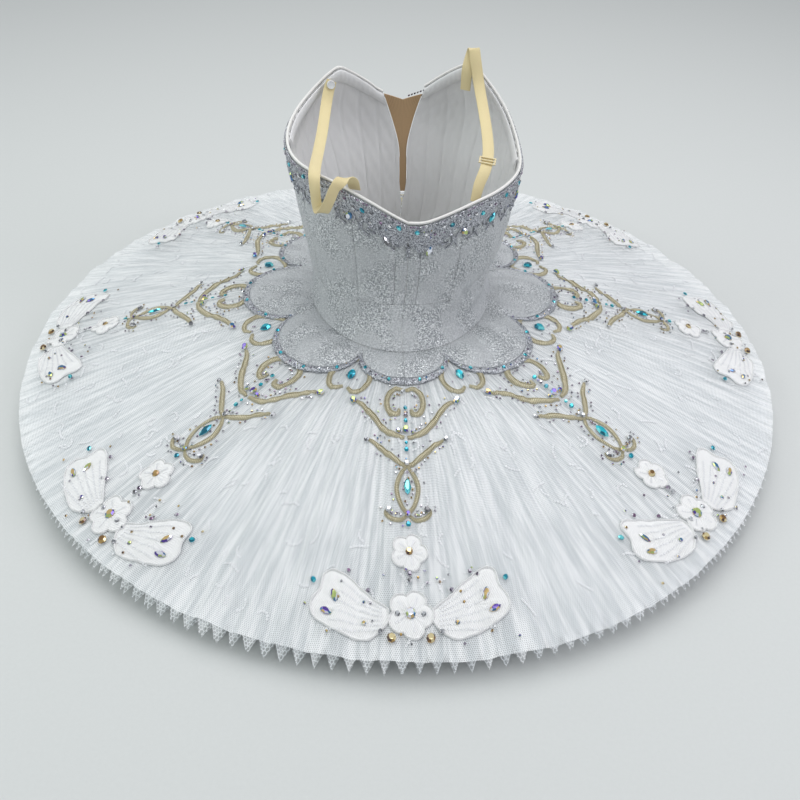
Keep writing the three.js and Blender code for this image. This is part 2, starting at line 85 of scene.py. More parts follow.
# Creases of the bodice: from and to an azimuth and height, half width and depth (negative is a ridge).
CREASES = ((78, 192, 40, 180, 7, 5), (72, 170, 42, 163, 9, -3.5), (-72, 178, -46, 162, 6, 3),
           (16, 272, 20, 214, 8, 1.2), (-18, 266, -14, 200, 8, 1.2), (-46, 284, -40, 198, 9, 1.6),
           (45, 275, 51, 205, 8, 1.5), (118, 235, 108, 186, 8, 2), (-120, 240, -111, 188, 8, 2),
           (150, 205, 162, 168, 7, 1.8), (-150, 208, -160, 172, 7, 1.8), (86, 262, 92, 200, 8, 2),
           (-86, 268, -93, 204, 8, 2), (-20, 196, -36, 168, 8, -2.5), (24, 192, 38, 172, 8, -2.5))
BASQUE_FOOT = 138
ROOT_INSET = -1.6
BROCADE = 1.6
PLATE_RADIUS = 494
PLATE_TOP = 135.2
PLATE_DROP = 101.2
CREASED_ABOVE = 150
SEAM = 0.15
GAP = 0.075  # degrees on each side of a seam
PANEL_STEP = 1.1  # degrees between a panel's columns
CUP_SEAM = 140  # azimuth where a cup's panel begins
CUP_GAP = 0.15  # degrees between a cup and the insert
INSERT_TOP = 167  # azimuth where a cup's top edge meets the insert
INSERT_FOOT = 208
ROUND = 2.1  # millimetres round the body in one degree
LACE_ROUND = 2.12  # the same, out at the lace
NET_COLUMNS = 1080
NET_ROWS = 40
DAG_COLUMNS = 6
DAG_DEPTH = 18
LACE_CORD = 9  # width of the cord round the peplum
SIDES = ((-1, "left"), (1, "right"))


def along(rows, key, column, at):
    x, y = rows[key], rows[column]
    slope = np.gradient(y)
    slope[1:-1] = (y[2:] - y[:-2]) / (x[2:] - x[:-2])
    slope[0], slope[-1] = (y[1] - y[0]) / (x[1] - x[0]), (y[-1] - y[-2]) / (x[-1] - x[-2])
    at = np.asarray(at, float)
    i = np.clip(np.searchsorted(x, at) - 1, 0, len(x) - 2)
    span = x[i + 1] - x[i]
    t = np.clip((at - x[i]) / span, 0, 1)
    return ((2 * t**3 - 3 * t**2 + 1) * y[i] + (t**3 - 2 * t**2 + t) * span * slope[i]
            + (3 * t**2 - 2 * t**3) * y[i + 1] + (t**3 - t**2) * span * slope[i + 1])


def cup_fullness(azimuth, z):
    return 16 * np.exp(-(((np.abs(azimuth) - 146) / 26) ** 2) - ((z - 318) / 42) ** 2)


def relief(azimuth, z):
    """How far the creases draw the cloth in."""
    depth = np.zeros(np.broadcast(azimuth, z).shape)
    u = azimuth * ROUND
    for a1, z1, a2, z2, width, deep in CREASES:
        du, dv = (a2 - a1) * ROUND, z2 - z1
        t = np.clip(((u - a1 * ROUND) * du + (z - z1) * dv) / (du * du + dv * dv), 0, 1)
        off = np.hypot(u - a1 * ROUND - t * du, z - z1 - t * dv)
        depth += deep * (0.4 + 0.6 * np.sin(np.pi * t)) * np.exp(-((off / width) ** 2))
    return depth


def body_point(azimuth, z, offset):
    azimuth, z, offset = (np.asarray(x, float) for x in np.broadcast_arrays(azimuth, z, offset))
    a = np.radians(azimuth)
    out = offset + cup_fullness(azimuth, z) - relief(azimuth, z) * (z > CREASED_ABOVE)
    back = along(SECTIONS, "z", "back", z)
    reach = np.where(np.cos(a) > 0, back, along(SECTIONS, "z", "front", z)) + out
    half = along(SECTIONS, "z", "half", z) + out
    x = along(SECTIONS, "z", "shift", z) + half * np.sin(a)
    return np.stack([x, -reach * np.cos(a), z], -1)


def neck_height(azimuth):
    left = along(NECKLINE, "azimuth", "left", np.abs(azimuth))
    return np.where(np.asarray(azimuth) < 0, left, along(NECKLINE, "azimuth", "right", np.abs(azimuth)))


def waist_height(azimuth):
    return along(WAIST, "azimuth", "z", np.abs(azimuth))


def insert_edge(z):
    half = np.where(z < INSERT_FOOT, 0, along(INSERT, "z", "half", z))
    return 180 - np.degrees(np.arcsin(half / (along(SECTIONS, "z", "half", z) + cup_fullness(180, z))))


def squeeze(column, edge):
    """A cup's columns close up to the edge of the insert."""
    share = (column - CUP_SEAM) / (180 - CUP_SEAM)
    return np.where(column <= CUP_SEAM, column, CUP_SEAM + share * (edge - CUP_SEAM))


def side_face(side, columns, heights, offset, rows=44):
    """Rows of points over columns on one side; heights(azimuth) gives the lowest and highest z."""
    low, high = heights(side * squeeze(columns, INSERT_TOP))
    share = np.linspace(0, 1, rows)[:, None]
    z = low + share * (high - low)
    azimuth = side * squeeze(columns[None, :], insert_edge(z) - CUP_GAP)
    return body_point(azimuth, z, offset(azimuth, z) if callable(offset) else offset)


def hem_radius(azimuth):
    a = np.radians(azimuth)
    return PLATE_RADIUS + 2.5 * np.sin(3 * a + 0.6) + 1.5 * np.sin(5 * a)


def folds(azimuth, radius):
    """Soft radial folds of the gathered net, uneven in width, that fade out under the peplum."""
    a = np.radians(azimuth)
    a = a + 0.05 * np.sin(3 * a + 1) + 0.03 * np.sin(7 * a + 2)
    fade = np.clip((radius - 175) / 60, 0, 1)
    wide = 1.5 * np.sin(31 * a) * np.sin(5 * a + 1) + 1.1 * np.sin(53 * a + 1)
    fine = 0.5 * np.sin(117 * a) + 0.4 * np.sin(171 * a + 2)
    return fade * (wide * (0.5 + radius / 900) + fine)


def plate_point(azimuth, radius, lift):
    azimuth, radius = np.broadcast_arrays(np.asarray(azimuth, float), np.asarray(radius, float))
    start = body_point(azimuth, BASQUE_FOOT, ROOT_INSET)
    root = np.hypot(start[..., 0], start[..., 1])
    hem = hem_radius(azimuth)
    t = (radius - root) / (hem - root)
    a = np.radians(azimuth)
    x = start[..., 0] + t * (hem * np.sin(a) - start[..., 0])
    y = start[..., 1] + t * (-hem * np.cos(a) - start[..., 1])
    z = PLATE_TOP - PLATE_DROP * along(PLATE, "t", "drop", t) + folds(azimuth, radius) + lift
    return np.stack([x, y, z], -1)


def knicker_point(azimuth, z, offset):
    azimuth, z = np.broadcast_arrays(np.asarray(azimuth, float), np.asarray(z, float))
    a = np.radians(azimuth)
    back = along(KNICKERS, "z", "back", z)
    reach = np.where(np.cos(a) > 0, back, along(KNICKERS, "z", "front", z)) + offset
    half = along(KNICKERS, "z", "half", z) + offset
    return np.stack([half * np.sin(a), -reach * np.cos(a), z], -1)


def scallop_radius(azimuth):
    swing = np.abs(azimuth - PITCH * np.round(azimuth / PITCH)) / (PITCH / 2)
    tip = np.where(np.abs(azimuth) < PITCH / 2, 186, 196)
    valley = 136 + 16 * np.cos(np.radians(azimuth))
    return valley + (tip - valley) * (1 - np.minimum(swing, 1) ** 2) ** 0.6


# ---- meshes ----


class Shape:
    """Points, faces of one or more widths, a UV for each point and a tint for each face."""

    def __init__(self, points, faces, uv=None, tint=(1, 1, 1)):
        self.points = np.asarray(points, float).reshape(-1, 3)
        self.faces = [np.asarray(f, int) for f in (faces if isinstance(faces, list) else [faces])]
        self.uv = np.zeros((len(self.points), 2)) if uv is None else np.asarray(uv, float).reshape(-1, 2)
        self.tints = [np.broadcast_to(np.asarray(t, float), (len(f), 3)) for f, t in
                      zip(self.faces, tint if isinstance(tint, list) else [tint] * len(self.faces))]

    def placed(self, place):
        """The shape with its (across, out, lift) points laid on a surface."""
        made = Shape(place(*self.points.T), self.faces, self.uv)
        made.tints = self.tints
        return made


def piece(name, shapes, finish, replaces=(), smooth=True, ride=True):
    """One mesh object from shapes, riding on the garment's body and standing for its CAD nodes."""
    shapes = shapes if isinstance(shapes, list) else [shapes]
    starts = np.cumsum([0] + [len(s.points) for s in shapes])
    faces = [f + start for s, start in zip(shapes, starts) for f in s.faces]
    tints = np.concatenate([t for s in shapes for t in s.tints])
    sizes = np.concatenate([np.full(len(f), f.shape[1]) for f in faces])
    loops = np.concatenate([f.ravel() for f in faces])
    points = np.concatenate([s.points for s in shapes]) * MM
    mesh = bpy.data.meshes.new(name)
    mesh.vertices.add(len(points))
    mesh.vertices.foreach_set("co", points.astype(np.float32).ravel())
    mesh.loops.add(len(loops))
    mesh.loops.foreach_set("vertex_index", loops.astype(np.int32))
    mesh.polygons.add(len(sizes))
    mesh.polygons.foreach_set("loop_start", np.concatenate([[0], np.cumsum(sizes)[:-1]]).astype(np.int32))
    mesh.update(calc_edges=True)
    layer = mesh.uv_layers.new(name="Cloth")
    layer.data.foreach_set("uv", np.concatenate([s.uv for s in shapes])[loops].astype(np.float32).ravel())
    colour = mesh.attributes.new("tint", "FLOAT_COLOR", "CORNER")
    rgba = np.concatenate([tints, np.ones((len(tints), 1))], 1)
    colour.data.foreach_set("color", np.repeat(rgba, sizes, 0).astype(np.float32).ravel())
    mesh.polygons.foreach_set("use_smooth", np.full(len(sizes), smooth))
    if smooth:
        mesh.set_sharp_from_angle(angle=math.radians(50))
    mesh.materials.append(finish)
    made = bpy.data.objects.new(name, mesh)
    bpy.context.scene.collection.objects.link(made)
    if ride:
        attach(made, BODY)
    if replaces:
        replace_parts(made, *replaces)
    return made


def grid(rows, columns, closed=False, first=0):
    r, c = np.meshgrid(np.arange(rows - 1), np.arange(columns if closed else columns - 1), indexing="ij")
    n = (c + 1) % columns
    quads = np.stack([r * columns + c, r * columns + n, (r + 1) * columns + n, (r + 1) * columns + c], -1)
    return quads.reshape(-1, 4) + first


def outward(points, faces):
    """The faces, turned over where the closed shape they make is inside out."""
    p = np.asarray(points).reshape(-1, 3)
    a, b, c, d = (p[faces[:, i]] for i in range(4))
    volume = (np.cross(b, c) * a).sum() + (np.cross(c, d) * a).sum()
    return faces if volume > 0 else faces[:, ::-1]


def wall(outer, inner, closed=False):
    """A closed cloth wall between two faces of the same rows and columns."""
    rows, columns = outer.shape[:2]
    far = rows * columns
    face = grid(rows, columns, closed)
    quads = [face, face[:, ::-1] + far]
    r, c = np.arange(rows - 1), np.arange(columns if closed else columns - 1)
    n = (c + 1) % columns
    top = (rows - 1) * columns
    quads.append(np.stack([c, c + far, n + far, n], -1))
    quads.append(np.stack([top + c, top + n, top + n + far, top + c + far], -1))
    if not closed:
        end = columns - 1
        quads.append(np.stack([r, r + 1, r + 1, r], -1) * columns + [0, 0, far, far])
        quads.append(np.stack([r, r, r + 1, r + 1], -1) * columns + [end, end + far, end + far, end])
    points = np.concatenate([outer.reshape(-1, 3), inner.reshape(-1, 3)])
    step = np.linalg.norm(np.diff(outer, axis=1), axis=2).mean()
    rise = np.linalg.norm(np.diff(outer, axis=0), axis=2).mean()
    u, v = np.meshgrid(np.arange(columns) * step * MM, np.arange(rows) * rise * MM)
    uv = np.tile(np.stack([u, v], -1).reshape(-1, 2), (2, 1))
    return Shape(points, outward(points, np.concatenate(quads)), uv)


def cloth(node, shapes, finish):
    """A piece made from shapes, standing for its one CAD node."""
    made = piece(f"cloth_{node}", shapes, finish, [node])


def smooth_path(points, steps=8):
    """A smooth curve through a few chosen points."""
    p = np.asarray(points, float)
    p = np.concatenate([[2 * p[0] - p[1]], p, [2 * p[-1] - p[-2]]])
    t = np.linspace(0, 1, steps, endpoint=False)[:, None]
    out = []
    for a, b, c, d in zip(p, p[1:], p[2:], p[3:]):
        out.append(0.5 * (2 * b + (c - a) * t + (2 * a - 5 * b + 4 * c - d) * t**2
                          + (3 * b - a - 3 * c + d) * t**3))
    return np.concatenate(out + [p[-2:-1]])


def direction(path):
    """The direction of a path at each of its points."""
    way = np.gradient(path, axis=0)
    return way / (np.linalg.norm(way, axis=1)[:, None] + 1e-9)


def leftward(path):
    """The direction a quarter turn to the left of a flat path, at each of its points."""
    x, y = direction(path).T
    return np.stack([-y, x], -1)


def travelled(path):
    return np.concatenate([[0], np.cumsum(np.linalg.norm(np.diff(path, axis=0), axis=1))])


def caps(columns, rows):
    """The two end faces of a tube."""
    ring = np.arange(columns)
    return [ring[None], ring[::-1][None] + columns * (rows - 1)]


HALF_ROUND = np.array([(-1, 0), (-0.8, 0.65), (0, 1), (0.8, 0.65), (1, 0)])


def cord(path, width, height, lift=0.0, twist=0.0):
    """A cord laid flat along a path; width is one number or one for each point."""
    across = leftward(path)
    width = np.broadcast_to(width, len(path))[:, None]
    far = travelled(path)
    lump = 1 + twist * np.sin(far * 2.6)[:, None]
    s, h = HALF_ROUND.T
    uv = path[:, None] + across[:, None] * (s * width * lump)[..., None]
    up = lift + h * height * lump * np.ones_like(width)
    points = np.concatenate([uv, up[..., None]], -1)
    coords = np.stack([np.repeat(far[:, None], 5, 1), np.tile(s, (len(far), 1))], -1)
    return Shape(points, [grid(len(path), 5, True), *caps(5, len(path))], coords)


def ribbon(path, widest):
    """A padded scroll of gold: a body that swells to its widest and tapers, edged by two thin cords."""
    share = np.linspace(0, 1, len(path))
    half = widest * (0.35 + 0.65 * np.sin(np.pi * share) ** 0.7)
    across = leftward(path)
    body = cord(path, half * 0.8, 1.5, 0, 0.14)
    edges = [cord(path + across * (half * side)[:, None], 0.65, 1.5, 0, 0.2) for side in (-1, 1)]
    return [body, *edges]


def mirrored(shape):
    made = Shape(shape.points * (-1, 1, 1), [f[:, ::-1] for f in shape.faces], shape.uv)
    made.tints = shape.tints
    return made


# Facet colours of each kind of stone: the stone's own hue, with bright and dark facets that are painted
# reflections and glints; the clear stones' facets are painted reflection only.
HUES_AND_PAINTED_GLINTS = {
    "teal": ((0, 0.16, 0.24), (0, 0.3, 0.42), (0.01, 0.5, 0.62), (0.2, 0.8, 0.85)),
    "clear": ((0.25, 0.26, 0.28), (0.6, 0.62, 0.65), (0.95, 0.95, 0.97), (0.12, 0.12, 0.13)),
    "ab": ((0.1, 0.05, 0.35), (0.5, 0.62, 0.2), (0.85, 0.87, 0.95), (0.05, 0.2, 0.4), (0.7, 0.5, 0.2)),
    "smoke": ((0.07, 0.06, 0.1), (0.3, 0.28, 0.34), (0.7, 0.68, 0.74), (0.2, 0.1, 0.2)),
    "amber": ((0.25, 0.13, 0.04), (0.55, 0.36, 0.12), (0.85, 0.72, 0.4), (0.1, 0.06, 0.05)),
}


def stone(rng, kind, at, half_width, half_length, lift=1.0, turn=0.0, point=0.0):
    """A faceted stone: round, or pointed at both ends where point is 1."""
    count = 8 if half_length > 1.6 else 6
    angle = np.arange(count) * 2 * np.pi / count
    pinch = 1 - point * 0.45 * np.abs(np.sin(angle)) ** 3
    girdle = np.stack([half_width * np.cos(angle) * pinch, half_length * np.sin(angle)], -1)
    tall = 0.75 * half_width
    rings = [(girdle, 0), (girdle, 0.35 * tall), (girdle * 0.62, tall)]
    c, s = math.cos(math.radians(turn)), math.sin(math.radians(turn))
    points = [np.column_stack([g @ [[c, s], [-s, c]] + at, np.full(count, lift + h)]) for g, h in rings]
    hues_and_glints = np.array(HUES_AND_PAINTED_GLINTS[kind])
    faces = [grid(3, count, True), np.arange(count)[None] + 2 * count]
    # Each facet takes one of these at random, painting glints and dark reflections into its colour.
    tint = [hues_and_glints[rng.integers(len(hues_and_glints), size=2 * count)], hues_and_glints[rng.integers(len(hues_and_glints), size=1)]]
    return Shape(np.concatenate(points), faces, None, tint)


def sequin(at, radius=1.25, lift=0.7):
    """A small cupped disc with its hole."""
    angle = np.arange(8) * np.pi / 4
    ring = np.stack([np.cos(angle), np.sin(angle)], -1)
    levels = ((1, 0), (1, 0.25), (0.38, 0.05))
    points = [np.column_stack([ring * radius * k + at, np.full(8, lift + h)]) for k, h in levels]
    return Shape(np.concatenate(points), grid(3, 8, True))


def blob(outline, height, lift=0.4, rings=10, rib=0.0):
    """A low padded patch inside an outline, with ribs that run out from its middle."""
    centre = outline.mean(0)
    share = np.linspace(1, 0.02, rings)[:, None, None]
    flat = centre + (outline - centre) * share
    angle = np.arctan2(*(outline - centre).T)
    rise = height * (1 - share[..., 0] ** 4) * (1 + rib * np.sin(angle * 14)) + lift
    rise[0] = lift - 0.4
    points = np.concatenate([flat, rise[..., None]], -1)
    count = len(outline)
    return Shape(points, [grid(rings, count, True), np.arange(count)[None] + count * (rings - 1)],
                 flat.reshape(-1, 2))


def petals(centre, radius, count=5, turn=0.0):
    angle = np.linspace(0, 2 * np.pi, 80, endpoint=False)
    r = radius * (0.72 + 0.28 * np.abs(np.cos(count / 2 * (angle - math.radians(turn)))) ** 0.6)
    return np.stack([np.sin(angle) * r, np.cos(angle) * r], -1) + centre


def on_plate(base):
    def place(u, v, lift):
        return plate_point(base + np.degrees(u / np.maximum(v, 60)), v, lift)
    return place


def on_bodice(u, d, lift):
    """u is millimetres round from the centre back, d millimetres below the neckline."""
    azimuth = u / LACE_ROUND
    return body_point(azimuth, neck_height(azimuth) - d, lift)


# ---- shader maths ----


class Sock:
    """A material socket whose operators add Math nodes."""

    def __init__(self, tree, socket):
        self.tree, self.socket = tree, socket

    def maths(self, operation, *values):
        node = self.tree.nodes.new("ShaderNodeMath")
        node.operation = operation
        for i, value in enumerate(values):
            put(self.tree, node.inputs[i], value)
        return Sock(self.tree, node.outputs[0])

    def __add__(self, other):
        return self.maths("ADD", self, other)

    def __radd__(self, other):
        return self.maths("ADD", other, self)

    def __sub__(self, other):
        return self.maths("SUBTRACT", self, other)

    def __rsub__(self, other):
        return self.maths("SUBTRACT", other, self)

    def __mul__(self, other):
        return self.maths("MULTIPLY", self, other)

    def __rmul__(self, other):
        return self.maths("MULTIPLY", other, self)

    def sine(self):
        return self.maths("SINE", self)

    def size(self):
        return self.maths("ABSOLUTE", self)

    def most(self, other):
        return self.maths("MAXIMUM", self, other)

    def least(self, other):
        return self.maths("MINIMUM", self, other)

    def wrap(self, top):
        return self.maths("WRAP", self, top, 0)


def put(tree, target, value):
    if isinstance(value, Sock):
        tree.links.new(value.socket, target)
    elif hasattr(value, "__len__") and len(value) == 3 and target.type == "RGBA":
        target.default_value = (*value, 1)
    else:
        target.default_value = value


class Finish:
    """A material; node() makes every node that isn't maths."""

    def __init__(self, name):
        self.material = bpy.data.materials.new(name)
        self.material.use_nodes = True
        self.tree = self.material.node_tree
        self.shader = self.tree.nodes["Principled BSDF"]

    def node(self, kind, settings=None, sockets=None, out=0):
        node = self.tree.nodes.new(kind)
        for key, value in (settings or {}).items():
            setattr(node, key, value)
        for key, value in (sockets or {}).items():
            put(self.tree, node.inputs[key], value)
        return Sock(self.tree, node.outputs[out])

    def noise(self, scale, detail=3, rough=0.6, where=None):
        where = where or self.place()
        return self.node("ShaderNodeTexNoise", None,
                         {"Vector": where, "Scale": scale, "Detail": detail, "Roughness": rough})

    def cells(self, scale, out="Distance"):
        return self.node("ShaderNodeTexVoronoi", None, {"Vector": self.place(), "Scale": scale}, out)

    def place(self):
        return self.node("ShaderNodeTexCoord", out="Object")

    def uv(self):
        split = self.tree.nodes.new("ShaderNodeSeparateXYZ")
        put(self.tree, split.inputs[0], self.node("ShaderNodeTexCoord", out="UV"))
        return Sock(self.tree, split.outputs[0]), Sock(self.tree, split.outputs[1])

    def step(self, value, low, high):
        """0 below low, 1 above high and smooth between."""
        return self.node("ShaderNodeMapRange", {"interpolation_type": "SMOOTHSTEP"},
                         {0: value, 1: low, 2: high})

    def mix(self, factor, a, b):
        return self.node("ShaderNodeMix", {"data_type": "RGBA"}, {0: factor, 6: a, 7: b}, 2)

    def bump(self, height, strength, distance):
        return self.node("ShaderNodeBump", None,
                         {"Height": height, "Strength": strength, "Distance": distance})

    def done(self, **sockets):
        for key, value in sockets.items():
            put(self.tree, self.shader.inputs[key.replace("_", " ")], value)
        return self.material


def brocade():
    f = Finish("silver_brocade")
    fleck = f.step(f.noise(620, 4, 0.75), 0.42, 0.6)
    patch = f.step(f.noise(30, 2, 0.5), 0.42, 0.58)
    contrast = 0.35 + 0.65 * patch
    mixed = f.mix(0.5 + (fleck - 0.5) * contrast, (0.3, 0.32, 0.34), (0.93, 0.95, 0.96))
    return f.done(Base_Color=mixed, Metallic=0.35 + 0.3 * patch, Roughness=0.55 - 0.25 * fleck,
                  Normal=f.bump(fleck + f.cells(480), 0.6, 0.0006))


def silver_lace():
    f = Finish("silver_lace")
    tone = f.step(f.noise(760, 3, 0.8), 0.4, 0.62)
    mixed = f.mix(tone, (0.09, 0.1, 0.12), (0.85, 0.87, 0.92))
    return f.done(Base_Color=mixed, Metallic=0.55, Roughness=0.5 - 0.25 * tone,
                  Normal=f.bump(f.cells(620), 0.9, 0.0009))


def satin(name="satin", colour=(0.84, 0.84, 0.84), rough=0.38):
    f = Finish(name)
    u, v = f.uv()
    weave = (u * 5200).sine() * (v * 5200).sine()
    cloud = f.noise(40, 3, 0.6)
    darker = tuple(c * 0.9 for c in colour)
    return f.done(Base_Color=f.mix(cloud, darker, colour), Roughness=rough + 0.15 * cloud,
                  Sheen_Weight=0.25, Normal=f.bump(weave + f.noise(90, 3, 0.6) * 4, 0.25, 0.0004))


def tulle(name, cell, cover, holes, sequinned=False):
    """Hexagonal net over UVs in metres round and out; cover is the share of light its threads stop."""
    f = Finish(name)
    u, v = f.uv()
    wide, tall = cell, cell * math.sqrt(3)
    first = ((u + 9).wrap(wide) - wide / 2, (v + 9).wrap(tall) - tall / 2)
    other = ((u + 9 - wide / 2).wrap(wide) - wide / 2, (v + 9 - tall / 2).wrap(tall) - tall / 2)

    def reach(x, y):
        return x.size().most(x.size() * 0.5 + y.size() * 0.866)

    away = reach(*first).least(reach(*other))
    thread = f.step(away, cell * 0.3, cell * 0.42)
    # Radial streaks: in the colour they are painted shade and light of the net's folds; in the alpha they
    # make the net denser where pleats overlap.
    a = f.node("ShaderNodeCombineXYZ", None, {0: u * 26, 1: v * 2.2, 2: 0.0})
    painted_fold_shade_and_density = f.step(f.noise(6, 3, 0.6, a), 0.3, 0.7)
    tone = f.mix(painted_fold_shade_and_density, (0.78, 0.82, 0.84), (0.95, 0.965, 0.97))
    alpha = cover - holes + 2 * holes * thread + 0.22 * (painted_fold_shade_and_density - 0.5)
    return f.done(Base_Color=tone, Roughness=0.75, Sheen_Weight=0.3, Alpha=alpha.least(1.0).most(0.05),
                  Normal=f.bump(thread, 0.35, 0.0003))


def white_lace():
    f = Finish("white_lace")
    u, v = f.uv()
    rib = (u * 1.6 + v * 0.9).sine().size()
    return f.done(Base_Color=f.mix(rib, (0.8, 0.81, 0.82), (0.97, 0.97, 0.96)), Roughness=0.7,
                  Sheen_Weight=0.4, Normal=f.bump(rib + f.noise(700, 2, 0.6), 0.7, 0.0006))


def gold_cord():
    f = Finish("gold_cord")
    u, v = f.uv()
    twist = (u * 3.4 + v * 1.6).sine() * 0.5 + 0.5
    crinkle = f.noise(900, 3, 0.7)
    mixed = f.mix(twist * crinkle * 1.6, (0.36, 0.32, 0.19), (0.87, 0.81, 0.62))
    return f.done(Base_Color=mixed, Metallic=0.45, Roughness=0.5 - 0.2 * crinkle,
                  Normal=f.bump(twist + crinkle, 0.8, 0.0006))


def elastic(name="elastic", colour=(0.83, 0.7, 0.39)):
    f = Finish(name)
    u, v = f.uv()
    rib = (u * 7000).sine() * 0.5 + 0.5
    return f.done(Base_Color=f.mix(rib, tuple(c * 0.8 for c in colour), colour), Roughness=0.7,
                  Sheen_Weight=0.2, Normal=f.bump(rib + f.noise(800, 2, 0.5), 0.4, 0.0003))


def stones():
    f = Finish("stones")
    # The facet tint holds the stone's hue with painted reflections and glints.
    tint = f.node("ShaderNodeAttribute", {"attribute_name": "tint"}, out="Color")
    return f.done(Base_Color=tint, Metallic=0.55, Roughness=0.12 + 0.1 * f.noise(300), Coat_Weight=1.0)


def gloss(name, colour, rough):
    f = Finish(name)
    cloud = f.noise(260, 2, 0.5)
    return f.done(Base_Color=f.mix(cloud, tuple(c * 0.86 for c in colour), colour),
                  Roughness=rough + 0.12 * cloud, Coat_Weight=0.6, Normal=f.bump(cloud, 0.1, 0.0002))


# ---- settings ----


class TutuSettings(bpy.types.PropertyGroup):
    """Sizes and colours that a user would change."""
    lace_depth: bpy.props.FloatProperty(
        name="Lace depth", description="Depth of the lace band under the neckline", default=0.019,
        unit="LENGTH")
    dag_points: bpy.props.IntProperty(
        name="Dag points", description="Cut points round the hem of each net tier", default=180)
    sequin_lines: bpy.props.IntProperty(
        name="Sequin lines", description="Short curved lines of sequins on the top net", default=480)
    elastic_colour: bpy.props.FloatVectorProperty(
        name="Elastic", description="Colour of the shoulder straps", default=(0.83, 0.7, 0.39),
        subtype="COLOR")
    floor_colour: bpy.props.FloatVectorProperty(
        name="Floor", description="Colour of the surface it stands on", default=(0.66, 0.68, 0.67),
        subtype="COLOR")


def settings():
    return bpy.context.scene.tutu


def half_columns(step=1.2):
    return np.linspace(GAP, 180, int(180 / step))


def body_rows(azimuth):
    return waist_height(azimuth) + SEAM, neck_height(azimuth)


def basque_rows(azimuth):
    return np.full_like(azimuth, BASQUE_FOOT, dtype=float), waist_height(azimuth) - SEAM


def lining_rows(azimuth):
    return np.full_like(azimuth, BASQUE_FOOT, dtype=float), neck_height(azimuth)


class TUTU_OT_bodice(bpy.types.Operator):
    """Make the bodice panels and the basque"""
    bl_idname = "tutu.bodice"
    bl_label = "Bodice and basque"

    def execute(self, context):
        finish = brocade()
        for side, label in SIDES:
            for name, first, last in PANELS:
                count = max(6, int((last - first) / PANEL_STEP))
                columns = np.linspace(first + GAP, min(last - GAP, 180), count)

                def outer_offset(azimuth, z, first=first, last=last):
                    edge = np.minimum(np.abs(azimuth) - first, last - np.abs(azimuth)) * ROUND
                    pucker = 0.3 * np.sin(z * 0.75 + first) * np.exp(-np.abs(edge) / 6)
                    soft = 0.25 * np.sin(z * 0.16 + azimuth * 0.5)
                    return -0.9 * np.exp(-((edge / 1.7) ** 2)) + pucker + soft

                outer = side_face(side, columns, body_rows, outer_offset)
                inner = side_face(side, columns, body_rows, -BROCADE)
                cloth(f"bodice_{name}_{label}", wall(outer, inner), finish)
            columns = np.append(half_columns()[:-1], 179.9)

            def ripple(a, z):
                return 0.5 * np.sin(a * 0.9) * np.sin((z - BASQUE_FOOT) * 0.07) - 0.2

            outer = side_face(side, columns, basque_rows, ripple, 18)
            inner = side_face(side, columns, basque_rows, -BROCADE, 18)
            cloth(f"basque_{label}", wall(outer, inner), finish)
        return {"FINISHED"}


class TUTU_OT_lining(bpy.types.Operator):
    """Make the satin lining with its boning channels"""
    bl_idname = "tutu.lining"
    bl_label = "Lining"

    def execute(self, context):
        finish = satin("lining_satin")

        def inside(a, z):
            channel = np.exp(-((((a + 180) % 9) - 4.5) ** 2) / 0.3)
            wrinkle = np.abs(np.sin(z * 0.23 + a * 0.31) * np.sin(z * 0.11 - a * 0.52 + 1))
            return -3.3 + 0.7 * channel - 1.3 * wrinkle * (1 - channel) * np.clip((z - 150) / 20, 0, 1)

        for side, label in SIDES:
            for name, first, last in (("back", GAP, 81.9), ("front", 82.1, 180)):
                columns = np.linspace(first, last, 110)
                outer = side_face(side, columns, lining_rows, -2.1)
                inner = side_face(side, columns, lining_rows, inside)
                cloth(f"lining_{name}_{label}", wall(outer, inner), finish)
        return {"FINISHED"}


